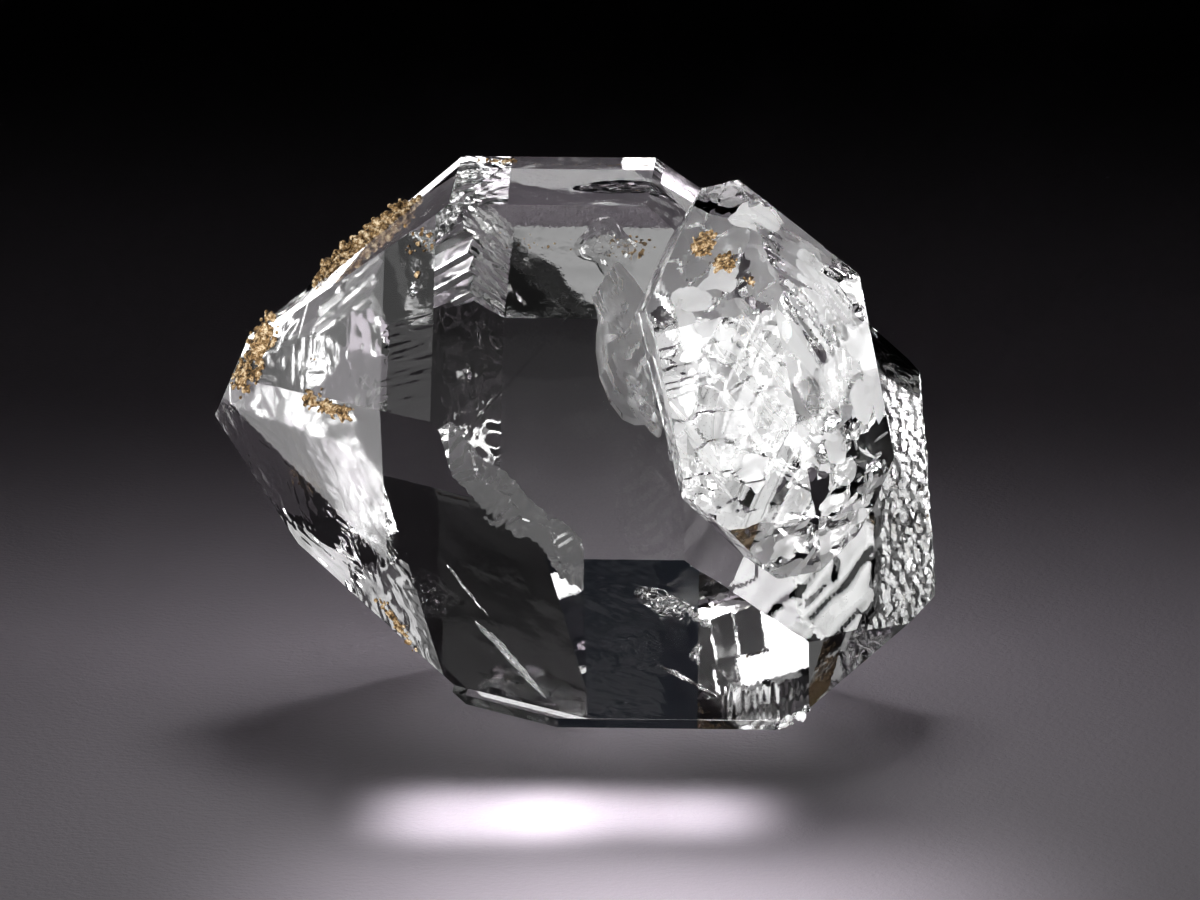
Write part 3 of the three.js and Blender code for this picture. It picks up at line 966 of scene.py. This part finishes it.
def small_cracks(finishes):
    """Each blade, flake and sparkle, as its finish and its shape. Blades lie along one direction, flakes turn
    and lean by their own angles, and sparkles have random places, directions and sizes."""
    across = 0.75 * UP_RIGHT + 0.66 * BACK
    for i, (place, radii, finish) in enumerate(BLADES):
        crumple = lambda x, y, s=i: 0.08 * smooth_noise(x, y, 0.8, 80 + s)
        skins = flake(in_small(*place), across, DOWN_RIGHT, radii, SMALL_GAP, crumple, 100 + i, 5, 20)
        yield finishes[finish], skins
    for i, (place, radii, turn, lean, finish) in enumerate(FLAKES):
        turn, lean = math.radians(turn), math.radians(lean)
        along = math.cos(lean) * UP + math.sin(lean) * BACK
        across = math.cos(turn) * RIGHT + math.sin(turn) * BACK
        crumple = lambda x, y, s=i: 0.12 * smooth_noise(x, y, 0.7, 120 + s)
        skins = flake(in_small(*place), across, along, radii, SMALL_GAP, crumple, 130 + i, 6, 20)
        yield finishes[finish], skins
    rng = np.random.default_rng(71)
    for i in range(SPARKLES["count"]):
        place = SPARKLES["middle"] + rng.uniform(-1, 1, 3) * SPARKLES["reach"]
        along = unit(rng.normal(size=3))
        radii = rng.uniform(*SPARKLES["radius"], 2)
        across = np.cross(along, BACK)
        skins = flake(in_small(*place), across, along, radii, SMALL_GAP, flat_skin, 150 + i, 3, 10)
        yield finishes["crack" if i % 4 else "veil"], skins


def flat_skin(x, y):
    """A crack that lies flat: no crumple."""
    return np.zeros_like(x)


# Cracks in the large crystal: the middle, the long and the short direction, half the width and length, the
# size and height of the crumple, the height of the ribs, and the finish.
LARGE_CRACKS = {
    "fracture": (
        (2.0, -4.7, 5.6), (0.36, 0.12, -0.92), (0.8, 0.55, 0.3),
        (1.35, 4.3), (1.1, 0.03), 0.045, "frosted",
    ),
    "fracture_tail": (
        (2.9, -5.3, 2.6), (0.45, 0.1, -0.9), (0.8, 0.55, 0.2),
        (0.5, 1.5), (0.4, 0.12), 0.04, "frosted",
    ),
    "shell": (
        (1.3, -2.6, 8.7), (0.1, 0.55, 0.85), (1.0, 0.1, 0.0),
        (1.25, 1.2), (0.5, 0.05), 0.02, "crack",
    ),
    "top_feather": (
        (1.6, 1.2, 9.9), (0.98, 0.1, -0.05), (0.0, 0.98, -0.2),
        (1.3, 2.3), (0.35, 0.05), 0.03, "crack",
    ),
    "low_cluster": (
        (3.7, -8.4, -4.2), (0.85, -0.1, -0.45), (0.4, 0.6, 0.65),
        (0.75, 1.3), (0.4, 0.22), 0.03, "crack",
    ),
    "low_cluster_end": (
        (5.0, -8.1, -4.8), (0.7, 0.3, -0.6), (-0.3, 0.7, 0.6),
        (0.6, 0.9), (0.4, 0.22), 0.02, "frosted",
    ),
    "low_cluster_drop": (
        (5.1, -7.6, -6.7), (0.1, 0.3, -0.95), (0.8, 0.6, 0.2),
        (0.3, 0.5), (0.3, 0.1), 0.0, "crack",
    ),
    "left_streaks": (
        (-2.5, -3.9, -7.9), (0.75, 0.0, -0.66), (0.4, 0.6, 0.65),
        (0.42, 1.9), (0.24, 0.1), 0.02, "frosted",
    ),
    "left_streaks_high": (
        (-4.3, -3.9, -5.0), (0.66, 0.0, -0.75), (0.5, 0.6, 0.5),
        (0.12, 1.6), (0.4, 0.04), 0.0, "crack",
    ),
    "foot_wisps": (
        (4.6, -7.0, -8.0), (0.8, 0.1, -0.5), (0.3, 0.6, 0.7),
        (0.16, 1.3), (0.3, 0.08), 0.0, "crack",
    ),
}


def large_cracks(finishes):
    """Each crack of the large crystal, as its finish and its shape."""
    for i, (at, along, across, radii, rough, rib_height, finish) in enumerate(LARGE_CRACKS.values()):

        def crumple(x, y):
            """Shell shaped ribs across the crack's length, over broken facets."""
            ribs = np.sin(7.0 * (y + 0.25 * x * x) + 2 * smooth_noise(x, y, 0.9, 160 + i))
            broken = facet_noise(x, y, rough[0], 170 + i) + smooth_noise(x, y, 1.4, 180 + i)
            return rib_height * ribs + rough[1] * broken

        yield finishes[finish], flake(at, across, along, radii, LARGE_GAP, crumple, 150 + i, 14, 32)


# Glassy beads along the lower right edge: stations along the axis.
BEADS = {"from": 6.9, "to": 9.6, "count": 22, "radius": (0.09, 0.24), "stray": 0.12}


def edge_beads(finishes):
    """Balls of random size, strayed about evenly spaced stations on the edge, and held above the foot."""
    rng = np.random.default_rng(211)
    count = BEADS["count"]
    stations = np.linspace(BEADS["from"], BEADS["to"], count)
    places = edge_points(LARGE_FACES["lower_front", "prism"], LARGE_FACES["bottom", "high"], stations)
    places += rng.uniform(-1, 1, (count, 3)) * BEADS["stray"]
    radii = rng.uniform(*BEADS["radius"], count)
    places[:, 2] = np.maximum(places[:, 2], radii * 1.2 - LARGE["sides"]["bottom"]["out"])
    upright = np.array([[0.0, 0.0, 1.0]])
    for i, (place, radius) in enumerate(zip(places, radii)):
        finish = finishes["veil" if i % 3 else "clear"]
        yield finish, balls([place], [radius], 1.0, upright, 220 + i, rows=4)


# Edges sharper than this many degrees stay sharp.
SHARP = 12


def add_quartz(settings):
    """The large crystal with its chips, then its foot ledge, the small crystal and the beads joined to it,
    and last all the cracks cut from them together."""
    finishes = quartz_finishes(settings)
    clear = finishes["clear"]
    quartz = crystal_with_relief("quartz_crystals", LARGE_FACES, LARGE_RELIEF, finishes)
    combine(quartz, chipped_edge_block(finishes["satin"]), "INTERSECT")
    foot = LARGE_FACES["lower_front", "low"]
    ledge_planes = [face.plane(FOOT_LEDGE["out"] if face is foot else 0.0) for face in LARGE_FACES.values()]
    ceiling = (np.array([0.0, 0.0, 1.0]), FOOT_LEDGE["height"] - LARGE["sides"]["bottom"]["out"])
    combine(quartz, new_piece("ledge", *convex_body(ledge_planes + [ceiling]), clear), "UNION")
    combine(quartz, crystal_with_relief("small", SMALL_FACES, SMALL_RELIEF, finishes), "UNION")
    combine(quartz, union_of(edge_beads(finishes)), "UNION")
    cracks = union_of(itertools.chain(small_cracks(finishes), large_cracks(finishes)))
    combine(cracks, contact_sheet(finishes), "UNION")
    combine(quartz, cracks, "DIFFERENCE")
    drop_specks(quartz)
    smooth_but_edges(quartz, SHARP)
    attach(quartz, "root")
    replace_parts(quartz, "quartz")


# ---------------------------------------------------------------------------------------------------
# Crust.

UPPER_FRONT_TIP = LARGE_FACES["upper_front", "low"]
SMALL_TIP = SMALL_FACES["front_left", "high"]
BACK_SIDE = LARGE_FACES["upper_back", "prism"]
# Patches of crumbs, by piece: the face they lie on, the stations (along the axis, sideways) of the line that
# they follow, their number, how far they stray from the line, their sizes, and the pile's height.
CRUSTS = {
    "crust_upper_edge": (
        LARGE_FACES["top", "low"], ((-10.6, 2.4), (-9.5, 2.95), (-8.5, 3.3), (-7.3, 3.85)),
        900, 0.4, (0.06, 0.17), 0.6,
    ),
    "crust_tip": (
        UPPER_FRONT_TIP, ((-12.7, 4.3), (-13.3, 3.4), (-13.6, 2.5), (-14.1, 1.9)),
        300, 0.32, (0.06, 0.15), 0.24,
    ),
    "crust_ridge": (
        UPPER_FRONT_TIP, ((-11.1, 0.75), (-10.2, 0.0), (-9.2, -0.5)),
        150, 0.17, (0.05, 0.12), 0.16,
    ),
    "crust_spot_upper": (SMALL_TIP, ((5.5, 0.7), (5.66, 0.72)), 150, 0.26, (0.05, 0.12), 0.12),
    "crust_spot_lower": (SMALL_TIP, ((4.75, -0.1), (4.55, -0.46)), 120, 0.2, (0.05, 0.12), 0.12),
}
# Thin strews of single crumbs, all in one piece.
STREWS = (
    (LARGE_FACES["lower_front", "low"], ((-8.3, -5.6), (-7.5, -6.5), (-6.9, -7.3)), 60, 0.14, (0.05, 0.12)),
    (LARGE_FACES["top", "prism"], ((-4.6, 5.7), (-3.1, 5.5)), 26, 0.16, (0.05, 0.11)),
    (UPPER_FRONT_TIP, ((-6.9, 6.6), (-6.2, 6.4), (-5.7, 5.9)), 30, 0.34, (0.04, 0.1)),
    (UPPER_FRONT_TIP, ((-6.46, 4.72), (-6.42, 4.76)), 5, 0.08, (0.06, 0.12)),
    (UPPER_FRONT_TIP, ((-12.4, 3.4), (-10.6, 2.2)), 7, 0.7, (0.03, 0.08)),
    (SMALL_TIP, ((3.8, -1.3), (3.65, -1.6)), 10, 0.12, (0.05, 0.11)),
    (BACK_SIDE, ((-3.4, 0.8), (-2.0, 1.1), (-0.8, 1.0)), 22, 0.3, (0.03, 0.09)),
    (BACK_SIDE, ((0.9, 0.9), (1.6, 1.6), (2.6, 0.9)), 46, 0.34, (0.04, 0.15)),
)
# How deep the crust reaches into the crystals, its voxels' size, and the height of a crumb for its width.
CRUST_SINK = 0.03
CRUST_VOXEL = 0.036
CRUMB_SQUASH = 0.75


def crumbs(face, stations, count, spread, radius, pile, seed):
    """Places, sizes and directions of crumbs: spread along the broken line through the stations, strayed
    from it with a normal distribution, and heaped up to a pile's height in its middle."""
    rng = np.random.default_rng(seed)
    stations = np.array(stations)
    way = np.concatenate([[0], np.cumsum(np.linalg.norm(np.diff(stations, axis=0), axis=1))])
    run = rng.uniform(0, way[-1], count)
    along, side = (np.interp(run, way, stations[:, i]) for i in range(2))
    farthest = 1.9 * spread
    stray = rng.normal(0, spread, (2, count)).clip(-farthest, farthest)
    radii = rng.uniform(*radius, count)
    heap = np.exp(-((stray / spread) ** 2).sum(axis=0))
    lift = 0.3 * radii + pile * heap * rng.uniform(0, 1, count)
    spots = face.point(along + stray[0] / face.stretch, side + stray[1], lift)
    return spots, radii, np.broadcast_to(face.normal, (count, 3))


def crust_piece(name, spots, radii, normals, material, seed):
    """Crumbs grown together: rough balls merged by a voxel remesh, which is made 1000 times too large
    because a voxel is smaller than the remesh allows, and pressed flat where they meet the crystals."""
    vertices, polygons = balls(spots, radii, CRUMB_SQUASH, normals, seed)
    piece = new_mesh(name, vertices.tolist(), polygons, material)
    modifier = piece.modifiers.new("grow together", "REMESH")
    modifier.mode = "VOXEL"
    modifier.voxel_size = CRUST_VOXEL
    apply_modifier(piece, modifier)
    mesh = piece.data
    flat = np.empty(3 * len(mesh.vertices))
    mesh.vertices.foreach_get("co", flat)
    places = flat.reshape(-1, 3)
    for faces in (LARGE_FACES, SMALL_FACES):
        normals = np.array([face.normal for face in faces.values()])
        depths = places @ normals.T - np.array([face.offset for face in faces.values()]) + CRUST_SINK
        nearest = depths.argmax(axis=1)
        depth = depths.max(axis=1)
        places += np.where(depth < 0, -depth, 0)[:, None] * normals[nearest]
    mesh.vertices.foreach_set("co", ((places + CENTRE) * MM).ravel())
    mesh.update()
    mesh.shade_smooth()
    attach(piece, "root")
    return piece


def add_crusts(settings):
    """Each patch of crumbs in the place of the plain one, and the strewn crumbs as one more piece."""
    material = crust_material(settings)
    for i, (name, crust) in enumerate(CRUSTS.items()):
        heap = crumbs(*crust, 300 + i)
        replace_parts(crust_piece(name + "_crumbs", *heap, material, 320 + i), name)
    strews = [crumbs(*strew, 0.0, 340 + i) for i, strew in enumerate(STREWS)]
    crust_piece("crust_strewn", *(np.concatenate(parts) for parts in zip(*strews)), material, 360)


# ---------------------------------------------------------------------------------------------------
# Stage: places and sizes in metres, and the lens and the sensor in millimetres.

VIEW_AZIMUTH = math.radians(2.46)
VIEW_ELEVATION = math.radians(13.1)
LENS = 300.0
SENSOR = 36.0
CLIP_START = 0.001
FRAME_WIDTH = 1200
MM_PER_PIXEL = 30.0 / 725.0
# The middle of the frame lies this many pixels right of and above the large crystal's centre.
FRAME_SHIFT = (20.0, -5.0)


def add_camera():
    """A long lens that looks at the large crystal, as far off as makes a pixel there MM_PER_PIXEL wide."""
    camera = bpy.data.cameras.new("camera")
    camera.lens = LENS
    camera.sensor_width = SENSOR
    camera.clip_start = CLIP_START
    stand = new_object("camera", camera)
    level = math.cos(VIEW_ELEVATION)
    back = Vector((math.sin(VIEW_AZIMUTH) * level, -math.cos(VIEW_AZIMUTH) * level, math.sin(VIEW_ELEVATION)))
    right = Vector((math.cos(VIEW_AZIMUTH), math.sin(VIEW_AZIMUTH), 0))
    up = back.cross(right)
    step = MM_PER_PIXEL * MM
    middle = Vector(CENTRE * MM) + right * (FRAME_SHIFT[0] * step) + up * (FRAME_SHIFT[1] * step)
    stand.location = middle + back * (LENS / SENSOR * FRAME_WIDTH * step)
    stand.rotation_euler = Matrix((right, up, back)).transposed().to_euler()
    bpy.context.scene.camera = stand


# Rows of soft boxes in a ring about the specimen, for what its faces mirror; they leave the floor out.
# width: degrees across; low, high: the elevations between which they reach; spread: how wide they shine.
# A box has its azimuth, in degrees clockwise from straight behind as seen from above, and its brightness.
RING = 0.2
WHITE, BLUE = "#FFFFFF", "#9DBBE6"
LOW_BOXES = {
    "front": (180, 1.05),
    "front_left": (-150, 1.0),
    "front_right": (150, 0.34),
    "left_front": (-120, 1.15),
    "right_front": (120, 0.48),
    "left": (-90, 0.54),
    "left_back": (-60, 0.42),
}
MIDDLE_BOXES = {
    "right_back_middle": (82, 0.025),
    "right_middle": (97, 0.42),
    "right_front_middle": (112, 0.47),
    "front_right_middle": (142, 0.55),
    "left_middle": (-97, 0.04),
}
HIGH_BOXES = {"left_high": (-120, 0.08), "front_left_high": (-150, 0.044), "front_high": (180, 0.015)}
BACK_BOXES = {"blue_reflector": (0, 0.0008)}
BOX_ROWS = (
    {"width": 30, "low": 0, "high": 16, "spread": 50, "boxes": LOW_BOXES, "colour": WHITE},
    {"width": 15, "low": 16, "high": 30, "spread": 32, "boxes": MIDDLE_BOXES, "colour": WHITE},
    {"width": 30, "low": 30, "high": 46, "spread": 40, "boxes": HIGH_BOXES, "colour": WHITE},
    {"width": 30, "low": 16, "high": 45, "spread": 50, "boxes": BACK_BOXES, "colour": BLUE},
)
# Key lights high behind it, which throw its shadow forward.
KEY_DISTANCE = 0.17
KEYS = {
    "key": {"elevation": 53, "size": (0.06, 0.03), "light": 1.1, "spread": 44},
    "key_high": {"elevation": 66, "size": (0.06, 0.03), "light": 0.25, "spread": 44},
    "key_wide": {"elevation": 73, "size": (0.12, 0.05), "light": 0.3, "spread": 110},
}
KEY_AIM = (0.0, -0.035, 0.0)
# The light that the crystal gathers behind its window and throws on the floor before it: pools at these
# places from its centre in millimetres, from small lights above, which shine on the floor alone. The
# lights stand in one direction from their pools, by its azimuth and elevation.
POOL_LIGHTS = (180, 60)
POOLS = {
    "pool_left": {"at": (-2.9, -20.0), "size": (0.007, 0.006), "light": 3.9, "spread": 2},
    "pool_right": {"at": (3.1, -19.4), "size": (0.009, 0.005), "light": 3.6, "spread": 2},
    "pool_front": {"at": (4.0, -34.0), "size": (0.02, 0.012), "light": 2.8, "spread": 8},
    "pool_far": {"at": (4.0, -62.0), "size": (0.09, 0.016), "light": 30.0, "spread": 8},
}
FILL = {"at": (0.0, -0.1, 0.17), "aim": (0.0, -0.02, 0.0), "size": (0.24, 0.1), "light": 0.045, "spread": 40}
# The floor reaches this far, and lies this far below the specimen's foot, so that the two don't touch.
FLOOR_REACH = 1.5
FLOOR_SINK = 0.02 * MM


def add_softbox(name, at, aim, size, light, spread, receivers=None, colour=WHITE):
    """A rectangular light at a place, turned to shine at another. light is its brightness, and receivers
    the collection that says what it shines on."""
    lamp = bpy.data.lights.new(name, "AREA")
    lamp.shape = "RECTANGLE"
    lamp.size, lamp.size_y = size
    lamp.energy = light * math.pi * size[0] * size[1]
    lamp.color = linear(colour)[:3]
    lamp.spread = math.radians(spread)
    stand = new_object(name, lamp)
    stand.location = at
    stand.rotation_euler = (Vector(aim) - Vector(at)).to_track_quat("-Z", "Y").to_euler()
    stand.light_linking.receiver_collection = receivers


def receivers_of_light(name, surface, state):
    """A set for light linking that takes in one surface alone, or leaves it alone out."""
    chosen = bpy.data.collections.new(name)
    chosen.objects.link(surface)
    chosen.collection_objects[0].light_linking.link_state = state
    return chosen


def direction(azimuth, elevation):
    """The unit vector at an azimuth, clockwise from straight behind, and an elevation."""
    azimuth, elevation = math.radians(azimuth), math.radians(elevation)
    level = math.cos(elevation)
    return np.array([math.sin(azimuth) * level, math.cos(azimuth) * level, math.sin(elevation)])


def add_lights(strength, floor):
    """The ring of boxes and the fill, which leave the floor out, the key lights, and the pools' lights."""
    specimen = receivers_of_light("lit_specimen", floor, "EXCLUDE")
    board = receivers_of_light("lit_board", floor, "INCLUDE")
    aim = (0.0, 0.0, CENTRE[2] * MM)
    for row in BOX_ROWS:
        low, high = (RING * math.tan(math.radians(row[end])) for end in ("low", "high"))
        size = 2 * RING * math.tan(math.radians(row["width"] / 2)), high - low
        for name, (azimuth, light) in row["boxes"].items():
            at = RING * direction(azimuth, 0) + np.array([0.0, 0.0, (low + high) / 2])
            add_softbox(name, at, aim, size, strength * light, row["spread"], specimen, row["colour"])
    for name, key in KEYS.items():
        at = KEY_DISTANCE * direction(0, key["elevation"])
        add_softbox(name, at, KEY_AIM, key["size"], strength * key["light"], key["spread"])
    for name, pool in POOLS.items():
        aim = np.array([*(CENTRE[:2] + pool["at"]) * MM, 0.0])
        at = aim + KEY_DISTANCE * direction(*POOL_LIGHTS)
        add_softbox(name, at, aim, pool["size"], strength * pool["light"], pool["spread"], board)
    add_softbox(
        "fill", FILL["at"], FILL["aim"], FILL["size"], strength * FILL["light"], FILL["spread"], specimen
    )


def add_stage(settings):
    """The floor, the lights and the camera in a dark studio."""
    corners = [(-1, -1), (1, -1), (1, 1), (-1, 1)]
    places = [(x * FLOOR_REACH, y * FLOOR_REACH, -FLOOR_SINK) for x, y in corners]
    floor = new_mesh("floor", places, [(0, 1, 2, 3)], board_material(settings))
    world = bpy.data.worlds.new("dark_studio")
    world.use_nodes = True
    world.node_tree.nodes["Background"].inputs["Color"].default_value = (*settings.dark, 1.0)
    bpy.context.scene.world = world
    add_lights(settings.strength, floor)
    add_camera()
    bpy.context.scene.view_settings.view_transform = "Standard"


# ---------------------------------------------------------------------------------------------------
# The add-on.


def colour_setting(name, description, default):
    """A colour for the panel: red, green and blue, and alpha where default has four values."""
    return FloatVectorProperty(
        name=name, description=description, subtype="COLOR", size=len(default), default=default
    )


class QuartzSettings(bpy.types.PropertyGroup):
    ior: FloatProperty(
        name="Refractive index",
        description="How strongly the quartz bends light",
        default=1.544,
        min=1.0,
        max=2.5,
    )


class CrustSettings(bpy.types.PropertyGroup):
    dark: colour_setting("Hollows", "Colour of the crust's hollows", linear("#2B1E0D"))
    light: colour_setting("Crust", "Main colour of the crust", linear("#866840"))
    pale: colour_setting("Grains", "Colour of the palest grains", linear("#D8C6A6"))


class StageSettings(bpy.types.PropertyGroup):
    floor: colour_setting("Floor", "Colour of the floor", linear("#928A93")[:3])
    strength: FloatProperty(
        name="Lights", description="Strength of all lights together", default=1.0, min=0.0
    )
    dark: colour_setting("Surroundings", "Colour of the dark studio", (0.0006,) * 3)


class QUARTZ_OT_crystals(bpy.types.Operator):
    """Builds the two crystals, grown together, with the cracks inside"""

    bl_idname = "quartz.crystals"
    bl_label = "Crystals"

    def execute(self, context):
        add_quartz(context.scene.quartz_crystals)
        return {"FINISHED"}


class QUARTZ_OT_crust(bpy.types.Operator):
    """Builds the patches of ochre crust and the strewn crumbs"""

    bl_idname = "quartz.crust"
    bl_label = "Crust"

    def execute(self, context):
        add_crusts(context.scene.quartz_crust)
        return {"FINISHED"}


class QUARTZ_OT_stage(bpy.types.Operator):
    """Sets up the floor, the lights and the camera"""

    bl_idname = "quartz.stage"
    bl_label = "Stage"

    def execute(self, context):
        add_stage(context.scene.quartz_stage)
        return {"FINISHED"}


OPERATORS = (QUARTZ_OT_crystals, QUARTZ_OT_crust, QUARTZ_OT_stage)


class QUARTZ_PT_specimen(bpy.types.Panel):
    bl_label = "Quartz specimen"
    bl_space_type = "VIEW_3D"
    bl_region_type = "UI"
    bl_category = "Quartz"

    def draw(self, context):
        for operator, group in zip(OPERATORS, SETTINGS):
            box = self.layout.box()
            box.operator(operator.bl_idname)
            settings = getattr(context.scene, group)
            for name in settings.bl_rna.properties.keys():
                if name not in ("rna_type", "name"):
                    box.prop(settings, name)


SETTINGS = {"quartz_crystals": QuartzSettings, "quartz_crust": CrustSettings, "quartz_stage": StageSettings}
CLASSES = (*SETTINGS.values(), *OPERATORS, QUARTZ_PT_specimen)


def register():
    for cls in CLASSES:
        bpy.utils.register_class(cls)
    for name, cls in SETTINGS.items():
        setattr(bpy.types.Scene, name, PointerProperty(type=cls))


def unregister():
    for name in SETTINGS:
        delattr(bpy.types.Scene, name)
    for cls in reversed(CLASSES):
        bpy.utils.unregister_class(cls)


def main():
    register()
    bpy.ops.quartz.crystals()
    bpy.ops.quartz.crust()
    bpy.ops.quartz.stage()


if __name__ == "__main__":
    main()
